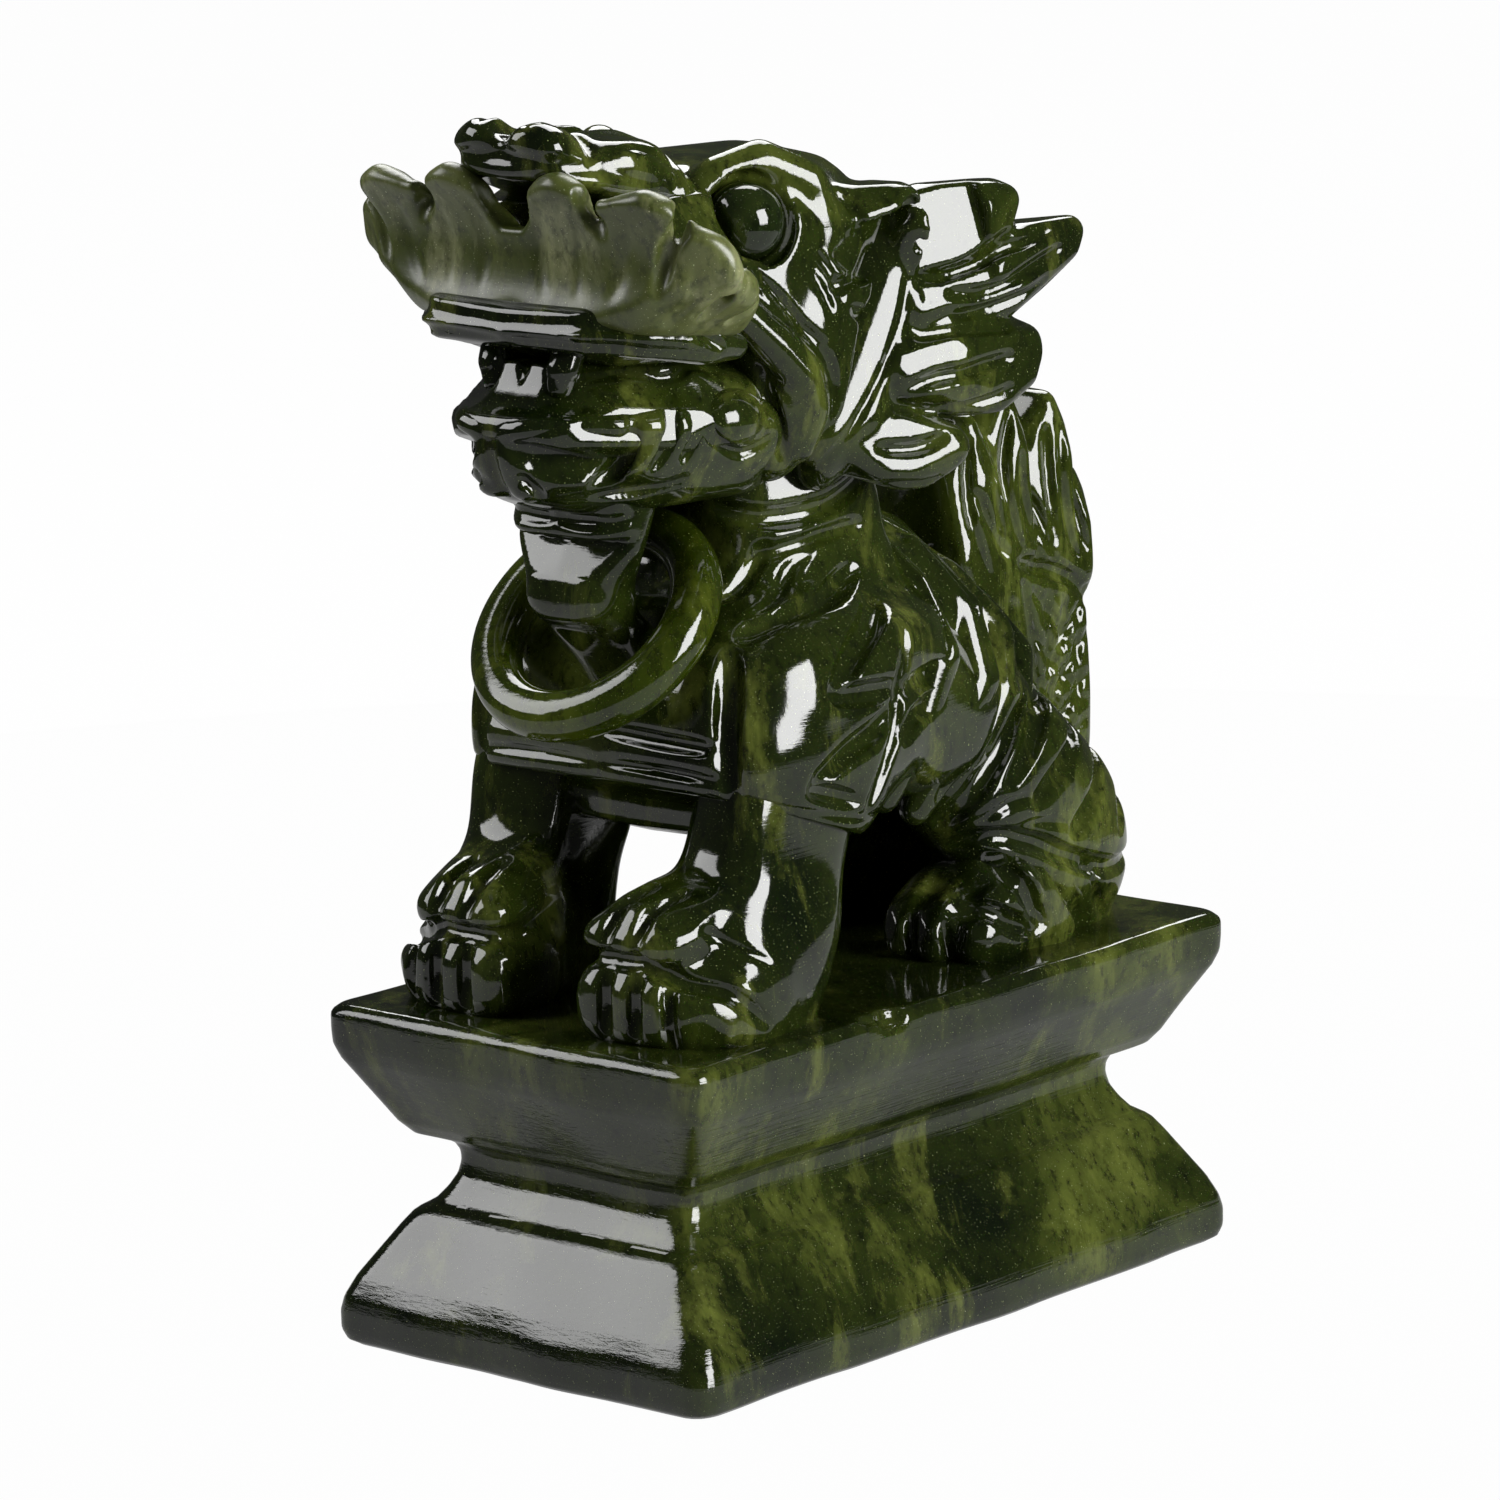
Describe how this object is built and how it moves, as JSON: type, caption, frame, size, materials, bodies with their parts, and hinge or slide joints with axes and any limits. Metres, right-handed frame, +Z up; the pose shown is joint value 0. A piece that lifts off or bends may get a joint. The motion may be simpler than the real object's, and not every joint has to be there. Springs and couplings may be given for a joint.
{
  "type": "jade figurine",
  "caption": "Seated mythical dragon carved with its waisted pedestal in green jade, with a loose stone ring held captive round a post under its chin.",
  "frame": {"origin": "centre of the pedestal's flat underside", "axes": "+Z up; the dragon faces -Y; its left side is +X"},
  "size_m": [0.048, 0.0824, 0.1212],
  "materials": {
    "pedestal_jade": "polished, with pale yellow-green mottling and grinding marks in the waist",
    "carved_jade": "polished, dark green with pale yellow-green clouds and fine pale specks",
    "eye_jade": "high polish, near black green",
    "ring_jade": "polished, translucent olive green where thin"
  },
  "bodies": {
    "stone": {"pedestal_foot": "pedestal_jade", "pedestal_waist": "pedestal_jade", "pedestal_plate": "pedestal_jade", "left_forepaw": "carved_jade", "right_forepaw": "carved_jade", "left_foreleg": "carved_jade", "right_foreleg": "carved_jade", "left_haunch": "carved_jade", "right_haunch": "carved_jade", "left_hind_paw": "carved_jade", "right_hind_paw": "carved_jade", "torso": "carved_jade", "neck": "carved_jade", "back_mane": "carved_jade", "tail_base": "carved_jade", "tail_flames": "carved_jade", "skull": "carved_jade", "left_eye": "eye_jade", "right_eye": "eye_jade", "left_ear": "carved_jade", "right_ear": "carved_jade", "left_side_mane": "carved_jade", "right_side_mane": "carved_jade", "left_cheek": "carved_jade", "right_cheek": "carved_jade", "snout": "carved_jade", "nose_ridge": "carved_jade", "upper_lip_frill": "carved_jade", "lower_jaw": "carved_jade", "tongue": "carved_jade", "left_fang": "carved_jade", "right_fang": "carved_jade", "ring_post": "carved_jade"},
    "ring": {"loose_ring": "ring_jade"}
  },
  "joints": [
    {"name": "ring_swing", "type": "hinge", "parent": "stone", "child": "ring", "pos_m": [0, -0.01876, 0.07914], "axis": [-1, 0, 0], "range_deg": [0, 50]}
  ]
}
